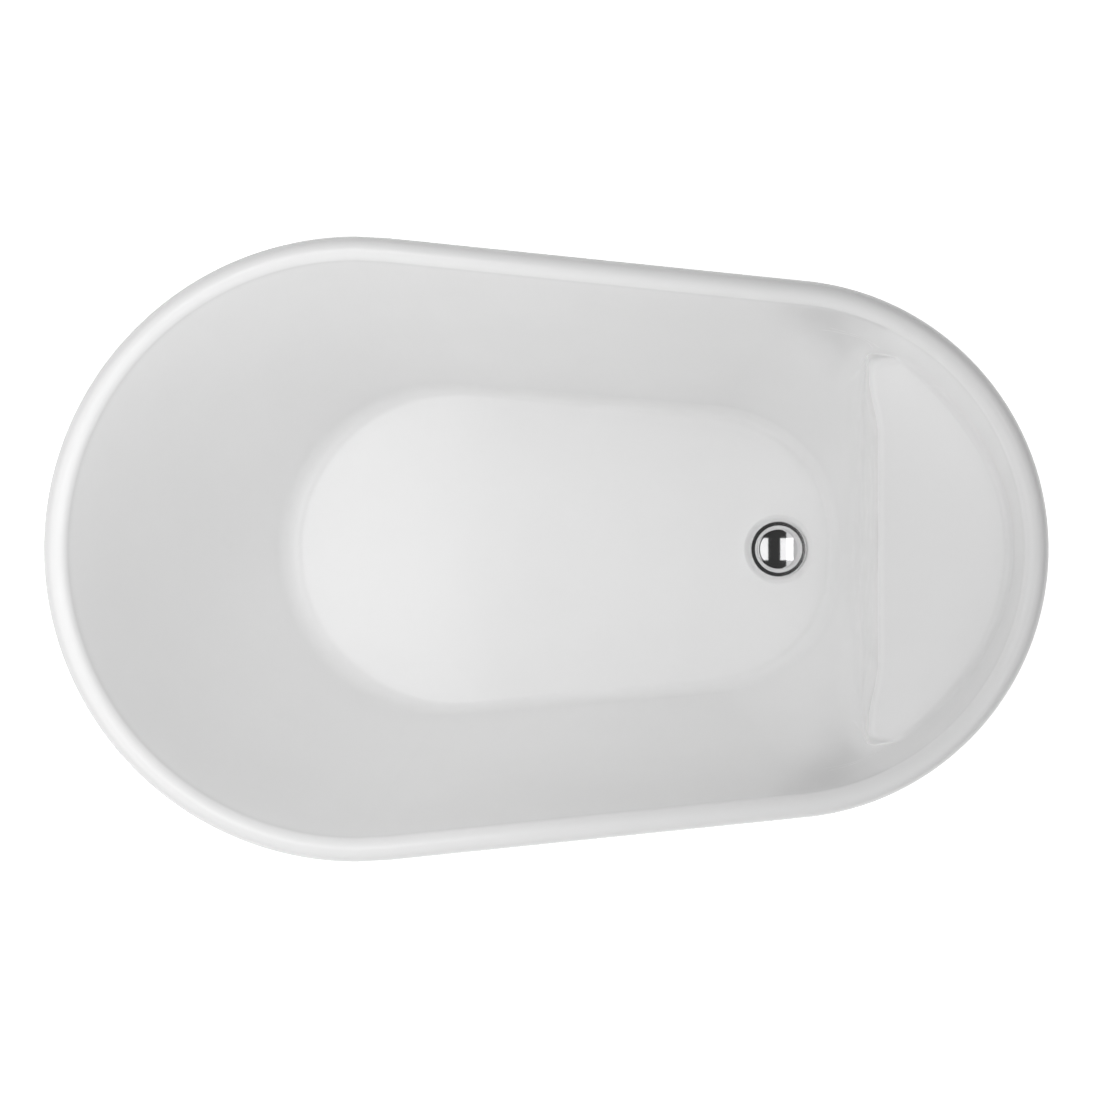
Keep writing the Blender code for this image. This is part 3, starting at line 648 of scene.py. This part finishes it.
def spin(shape, profile, steps=96):
    """Add a closed (radius, height) outline, listed down its outer side, turned about Z."""
    verts = [shape.verts.new((r, 0, z)) for r, z in profile]
    edges = [shape.edges.new((verts[i], verts[(i + 1) % len(verts)]))
             for i in range(len(verts))]
    bmesh.ops.spin(shape, geom=verts + edges, axis=(0, 0, 1), cent=(0, 0, 0),
                   steps=steps, angle=2 * math.pi, use_merge=True)
    bmesh.ops.remove_doubles(shape, verts=shape.verts, dist=0.000005)
    flat = [face for face in shape.faces if face.calc_area() < 1e-14]
    bmesh.ops.delete(shape, geom=flat, context="FACES")


def finished(name, shape, material, body, replaced, place=(DRAIN_X, 0)):
    """Make a piece of a bmesh that was built round the origin's axis."""
    bmesh.ops.recalc_face_normals(shape, faces=shape.faces)
    bmesh.ops.translate(shape, verts=shape.verts, vec=(*place, 0))
    mesh = bpy.data.meshes.new(name)
    shape.to_mesh(mesh)
    shape.free()
    piece = add_piece(name, mesh, [material], body, replaced)
    mesh.set_sharp_from_angle(angle=math.radians(40))
    flatten = piece.modifiers.new("flat_faces", "WEIGHTED_NORMAL")
    flatten.weight, flatten.keep_sharp = 80, True
    return piece


def lathe(name, profile, material, body, replaced, place=(DRAIN_X, 0), steps=96):
    shape = bmesh.new()
    spin(shape, profile, steps)
    return finished(name, shape, material, body, replaced, place)


def ring_profile(inner, outer, low, high):
    return [(outer, high), (outer, low), (inner, low), (inner, high)]


def thread(radius, high, low, pitch):
    """Points down a threaded side, from its first crest to its last root."""
    depth = 0.55 * pitch
    points = []
    for turn in range(int((high - low) / pitch)):
        z = high - turn * pitch
        points += [(radius, z), (radius, z - 0.2 * pitch), (radius - depth, z - 0.55 * pitch),
                   (radius - depth, z - 0.65 * pitch)]
    return points


def add_bar(shape, size, centre, turn=0.0):
    """Add a bevelled bar, turned about Z."""
    made = bmesh.ops.create_cube(shape, size=1.0)["verts"]
    bmesh.ops.scale(shape, vec=size, verts=made)
    bmesh.ops.translate(shape, verts=made, vec=centre)
    bmesh.ops.rotate(shape, verts=made, cent=(0, 0, 0), matrix=Matrix.Rotation(turn, 3, "Z"))
    edges = list({edge for vert in made for edge in vert.link_edges})
    bmesh.ops.bevel(shape, geom=edges, offset=0.0006, segments=3, affect="EDGES", profile=0.5)


def add_hexagon(shape, across, bore, low, high, columns=72):
    """Add a hexagon nut whose corners are chamfered, top and bottom, by a 30 degree cone."""
    rings = []
    half, middle = across / 2, (low + high) / 2
    chamfer = 0.94 * half
    for i in range(columns):
        angle = 2 * math.pi * i / columns
        past = (angle % (math.pi / 3)) - math.pi / 6
        edge = half / math.cos(past)
        fall = (edge - chamfer) * math.tan(math.radians(30))
        lead = 0.0008
        side = [(bore + lead, high), (chamfer, high), (edge, high - fall), (edge, low + fall),
                (chamfer, low), (bore + lead, low), (bore, low + lead), (bore, middle),
                (bore, high - lead)]
        rings.append([shape.verts.new((r * math.cos(angle), r * math.sin(angle), z))
                      for r, z in side])
    for i in range(columns):
        here, ahead = rings[i], rings[(i + 1) % columns]
        for j in range(len(here)):
            k = (j + 1) % len(here)
            shape.faces.new((here[j], ahead[j], ahead[k], here[k]))


def nut(name, across, bore, low, high, material, body, place):
    shape = bmesh.new()
    add_hexagon(shape, across, bore, low, high)
    return finished(name + "_hexagon", shape, material, body, name, place)


# ---- the waste --------------------------------------------------------------------------------
def make_waste_body():
    """Flange and threaded barrel, with the four arms that hold the stopper's boss."""
    top = FLANGE_TOP
    flange = rounded_profile(
        [(BORE_R, top - 0.0041), (0.0240, top), (0.0347, top), (0.0353, top - 0.0004),
         (FLANGE_R, top - 0.0012), (FLANGE_R, SEAT_Z + 0.0021), (0.0236, SEAT_Z + 0.0021),
         (BARREL_R - 0.001, SEAT_Z - 0.001)], 0.0005, 3)[4:-4]
    barrel = thread(BARREL_R, SEAT_Z - 0.002, BARREL_LOW + 0.001, 0.0018)
    ends = [(BARREL_R - 0.001, BARREL_LOW), (BORE_R, BARREL_LOW)]
    shape = bmesh.new()
    spin(shape, [(BORE_R, top - 0.0041)] + flange + barrel + ends)
    boss = ring_profile(0.0062, 0.0092, top - 0.0209, top - 0.0144)
    spin(shape, rounded_profile(boss, 0.0006), 64)
    arm_low, arm_high, near, far = top - 0.0201, top - 0.0090, 0.0088, BORE_R + 0.0008
    for arm in range(4):
        add_bar(shape, (far - near, 0.004, arm_high - arm_low),
                ((far + near) / 2, 0, (arm_low + arm_high) / 2), arm * math.pi / 2)
    finished("waste_body", shape, CHROME, "tub", "drain_body")


def make_waste_seals_and_nuts():
    lathe("upper_seal", rounded_profile(ring_profile(0.0240, 0.0345, SEAT_Z + GAP,
                                                     SEAT_Z + 0.0018), 0.0005),
          RUBBER, "tub", "drain_upper_seal")
    below = SEAT_Z - SHELL - GAP
    lathe("lower_gasket", rounded_profile(ring_profile(0.0238, 0.0340, below - 0.004, below),
                                          0.0008),
          RUBBER, "tub", "drain_lower_gasket")
    below -= 0.004 + GAP
    lathe("friction_washer", rounded_profile(ring_profile(0.0238, 0.0335, below - 0.0015, below),
                                             0.0004),
          NYLON, "tub", "drain_friction_washer")
    below -= 0.0015 + GAP
    nut("drain_lock_nut", 0.060, 0.0238, below - 0.009, below, BRASS,
        "tub", (DRAIN_X, 0))


def make_tail():
    """The slip-joint nut with its ribbed grip, its washer and the pipe."""
    low = BARREL_LOW
    lathe("slip_washer", rounded_profile(ring_profile(0.0175, 0.0228, low - 0.0018, low - GAP),
                                         0.0004),
          RUBBER, "tub", "tail_washer")
    flange = low - 0.0021
    pipe = [(0.0225, flange), (0.0225, flange - 0.002), (0.0190, flange - 0.002),
            (0.0190, 0.060), (0.0172, 0.060), (0.0172, flange)]
    lathe("outlet_pipe", rounded_profile(pipe, 0.0005), BRASS, "tub",
          "tail_pipe")
    lip = flange - 0.0023
    outline = [(0.0238, low + 0.011), (0.0290, low + 0.011), (0.0300, low + 0.009),
               (0.0300, lip - 0.001), (0.0290, lip - 0.0022), (0.0193, lip - 0.0022),
               (0.0193, lip), (0.0238, lip)]
    shape = bmesh.new()
    spin(shape, rounded_profile(outline, 0.0005, 3), 240)
    for vert in shape.verts:
        around, radius = math.atan2(vert.co.y, vert.co.x), math.hypot(vert.co.x, vert.co.y)
        if radius > 0.0294:
            groove = 0.0009 * (0.5 - 0.5 * math.cos(24 * around)) ** 3
            vert.co.x *= 1 - groove / radius
            vert.co.y *= 1 - groove / radius
    finished("slip_nut", shape, BRASS, "tub", "tail_nut")


def cap_point(apex, sine, depth):
    """Where the cap slopes by an angle: on a flat arc over its middle, a tight one at its edge."""
    flat, steep = CAP_SLOPES
    curve = (CAP_R - CAP_FLAT_R * flat) / (steep - flat)
    inner, outer = min(sine, flat), max(sine, flat)
    radius = CAP_FLAT_R * inner + curve * (outer - flat)
    drop = (CAP_FLAT_R * (1 - math.sqrt(1 - inner ** 2))
            + curve * (math.sqrt(1 - flat ** 2) - math.sqrt(1 - outer ** 2)))
    return radius - depth * sine, apex - drop - depth * math.sqrt(1 - sine ** 2)


def make_stopper():
    """Cap, seal and plunger, which rise, and the guide that they rise out of."""
    top = FLANGE_TOP
    low, apex = top + 0.0006, top + CAP_HEIGHT
    outside = [cap_point(apex, sine, 0) for sine in np.linspace(0, CAP_SLOPES[1], 64)]
    edge = [(CAP_R, low + 0.0004), (CAP_R - 0.0001, low + 0.0001), (CAP_R - 0.0004, low)]
    inside = [cap_point(apex, sine, CAP_WALL) for sine in np.linspace(0.80, 0.066, 24)]
    hub = [(0.0100, low + 0.0003), (0.0097, low), (0.0039, low), (0.0039, top + 0.0067),
           (0, top + 0.0067)]
    lathe("dome_cap", outside + edge + [(inside[0][0], low)] + inside + hub, CHROME, "stopper",
          "stopper_cap", steps=128)
    seal_top = top + 0.0003
    lathe("stopper_ring", rounded_profile(ring_profile(0.0039, 0.0222, top - 0.0017, seal_top),
                                          0.0008),
          RUBBER, "stopper", "stopper_seal")
    plunger = [(0, seal_top + 0.0060), (0.0036, seal_top + 0.0060), (0.0036, top - 0.0020),
               (0.0065, top - 0.0020), (0.0065, top - 0.0033), (0.0039, top - 0.0033),
               (0.0039, top - 0.0262), (0, top - 0.0262)]
    lathe("push_rod", rounded_profile(plunger, 0.0003, 3), BRASS, "stopper",
          "stopper_plunger", steps=64)
    upper = rounded_profile(
        [(0.0042, top - 0.0046), (0.0059, top - 0.0046), (0.0059, top - 0.0111),
         (0.0085, top - 0.0111), (0.0085, top - 0.0141), (0.0055, top - 0.0141)], 0.0003, 3)
    cup = [(0.0053, top - 0.0480), (0, top - 0.0480), (0, top - 0.0460), (0.0042, top - 0.0460)]
    lathe("threaded_guide", upper + thread(0.0059, top - 0.0150, top - 0.0470, 0.0010) + cup,
          BRASS, "tub", "stopper_guide", steps=64)


# ---- the feet and the frame -------------------------------------------------------------------
def make_feet():
    """Four levelling feet: threaded stud with a hexagon grip, two nuts and a rubber pad."""
    for number in range(1, 5):
        name, body = "foot_stud_%d" % number, "foot_%d" % number
        low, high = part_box(name)
        place = ((low.x + high.x) / 2, (low.y + high.y) / 2)
        shape = bmesh.new()
        above = thread(STUD_R, high.z - 0.0010, 0.0345, 0.00175)
        neck = [(STUD_R - 0.0009, 0.0338), (STUD_R - 0.0009, 0.0262)]
        below = thread(STUD_R, 0.0255, 0.0080, 0.00175)
        ends = [(STUD_R - 0.0009, low.z), (0, low.z)]
        spin(shape, [(0, high.z), (STUD_R - 0.0010, high.z)] + above + neck + below + ends, 48)
        add_hexagon(shape, 0.0146, STUD_R - 0.0012, 0.0265, 0.0335)
        finished(name + "_thread", shape, STEEL, body, name, place)
        pad = [(0.0095, PAD_HEIGHT), (0.020, 0.0085), (PAD_R, 0.005), (PAD_R, 0.0), (0, 0.0),
               (0, 0.006), (STUD_R + GAP, 0.006), (STUD_R + GAP, PAD_HEIGHT)]
        lathe("foot_pad_%d_moulded" % number, rounded_profile(pad, 0.0012), RUBBER, body,
              "foot_pad_%d" % number, place)
        for kind in ("foot_weld_nut_%d", "foot_lock_nut_%d"):
            node = kind % number
            nut_low, nut_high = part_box(node)
            nut(node, NUT_ACROSS, STUD_R + GAP, nut_low.z, nut_high.z, STEEL,
                body_of(NODES[node])[0], place)


def make_screws():
    """Pan-head screws with a cross recess in the head, which faces down."""
    for number in range(1, 7):
        name = "frame_screw_%d" % number
        low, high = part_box(name)
        place = ((low.x + high.x) / 2, (low.y + high.y) / 2)
        head_top, top = low.z + 0.0030, high.z
        outline = [(0, top), (0.0010, top - 0.0015), (0.0020, top - 0.004), (0.0020, head_top),
                   (0.0048, head_top), (0.0044, head_top - 0.0018), (0.0026, low.z), (0, low.z)]
        shape = bmesh.new()
        spin(shape, rounded_profile(outline, 0.0006, 3), 48)
        screw = finished(name + "_pan_head", shape, STEEL, "tub", name, place)
        recess = bmesh.new()
        for turn in (0, math.pi / 2):
            add_bar(recess, (0.0046, 0.0012, 0.0030), (0, 0, low.z), turn)
        subtract(screw, recess, place)


def subtract(obj, shape, place):
    """Cut a bmesh out of a piece for good."""
    mesh = bpy.data.meshes.new("recess")
    bmesh.ops.translate(shape, verts=shape.verts, vec=(*place, 0))
    shape.to_mesh(mesh)
    shape.free()
    cutter = bpy.data.objects.new("recess", mesh)
    bpy.context.scene.collection.objects.link(cutter)
    boolean = obj.modifiers.new("recess", "BOOLEAN")
    boolean.object, boolean.solver, boolean.use_self = cutter, "EXACT", True
    depsgraph = bpy.context.evaluated_depsgraph_get()
    obj.data = bpy.data.meshes.new_from_object(obj.evaluated_get(depsgraph))
    obj.modifiers.clear()
    bpy.data.objects.remove(cutter)


def soften_edges():
    """Round the cut edges of the carried-over boards, tubes and tabs."""
    for name, obj in NODES.items():
        if not name.startswith(("frame_rail", "frame_cross", "frame_tab", "floor_board",
                                "ledge_board")):
            continue
        bevel = obj.modifiers.new("rounded_edges", "BEVEL")
        bevel.width = 0.0012 if name.endswith("board") else 0.0004
        bevel.segments = 3
        bevel.limit_method = "ANGLE"
        bevel.angle_limit = math.radians(50)


# ---- stage, lights and camera -----------------------------------------------------------------
def area_light(name, size, place, target, power, glossy=True):
    light = bpy.data.lights.new(name, "AREA")
    light.shape = "RECTANGLE"
    light.size, light.size_y = size
    light.energy = power
    obj = bpy.data.objects.new(name, light)
    obj.location = place
    aim = Vector(target) - Vector(place)
    obj.rotation_euler = aim.to_track_quat("-Z", "Y").to_euler()
    obj.visible_glossy = glossy
    obj.visible_camera = False
    bpy.context.scene.collection.objects.link(obj)
    return obj


def make_stage():
    mesh = bpy.data.meshes.new("studio_floor")
    half = 30.0
    level = -0.0004
    corners = [(-half, -half), (half, -half), (half, half), (-half, half)]
    mesh.from_pydata([(x, y, level) for x, y in corners], [], [(0, 1, 2, 3)])
    floor = bpy.data.objects.new("studio_floor", mesh)
    bpy.context.scene.collection.objects.link(floor)
    m = Nodes("pale_floor").set(Roughness=0.9, Emission_Strength=0.75)
    m.shader.inputs["Emission Color"].default_value = (1, 1, 1, 1)
    m.link(m.mix(m.noise(3.0), (0.86, 0.86, 0.86), (0.88, 0.88, 0.88)),
           m.shader.inputs["Base Color"])
    mesh.materials.append(m.material)


def studio_world():
    """A dim ceiling over a pale band at the horizon."""
    world = bpy.data.worlds.new("dim_studio")
    world.use_nodes = True
    nodes, links = world.node_tree.nodes, world.node_tree.links
    direction = nodes.new("ShaderNodeTexCoord").outputs["Generated"]
    split = nodes.new("ShaderNodeSeparateXYZ")
    fade = nodes.new("ShaderNodeMapRange")
    fade.interpolation_type = "SMOOTHSTEP"
    fade.inputs["From Min"].default_value = 0.03
    fade.inputs["From Max"].default_value = 0.12
    fade.inputs["To Min"].default_value = 0.45
    fade.inputs["To Max"].default_value = 0.04
    links.new(direction, split.inputs["Vector"])
    links.new(split.outputs["Z"], fade.inputs["Value"])
    nodes["Background"].inputs["Color"].default_value = (1, 1, 1, 1)
    links.new(fade.outputs["Result"], nodes["Background"].inputs["Strength"])
    return world


def make_lights():
    area_light("softbox_left", (2.6, 3.2), (-2.7, 0, 2.7), (-2.7, 0, 0), 19)
    area_light("softbox_right", (3.2, 3.2), (2.3, 0, 2.7), (2.3, 0, 0), 22)
    area_light("left_strip", (0.46, 0.9), (-0.29, 0, 2.6), (-0.29, 0, 0), 1.3)
    area_light("right_strip", (0.70, 0.9), (0.78, 0, 2.6), (0.78, 0, 0), 2.0)
    area_light("head_end_fill", (0.9, 0.9), (-0.6, 0, 1.9), (-0.45, 0, 0), 14, False)
    area_light("side_panel", (4.0, 2.0), (0, -3.2, 1.7), (0, 0, 0.4), 27, False)
    bpy.context.scene.world = studio_world()
    bpy.context.scene.view_settings.view_transform = "Standard"
    bpy.context.scene.view_settings.look = "None"


def make_camera():
    """Straight above the tub, far enough away to be nearly without perspective."""
    width_at_rim, height_above_rim, sensor = 1.3333, 9.0, 36.0
    camera = bpy.data.cameras.new("camera")
    camera.sensor_width = sensor
    camera.lens = sensor * height_above_rim / width_at_rim
    camera.clip_end = 100
    obj = bpy.data.objects.new("camera", camera)
    obj.location = (0.0044, -0.0011, RIM_TOP_Z + height_above_rim)
    bpy.context.scene.collection.objects.link(obj)
    bpy.context.scene.camera = obj


dress_cad_nodes()
make_screws()
make_basin()
make_skirt()
make_waste_body()
make_waste_seals_and_nuts()
make_tail()
make_stopper()
make_feet()
soften_edges()
make_stage()
make_lights()
make_camera()
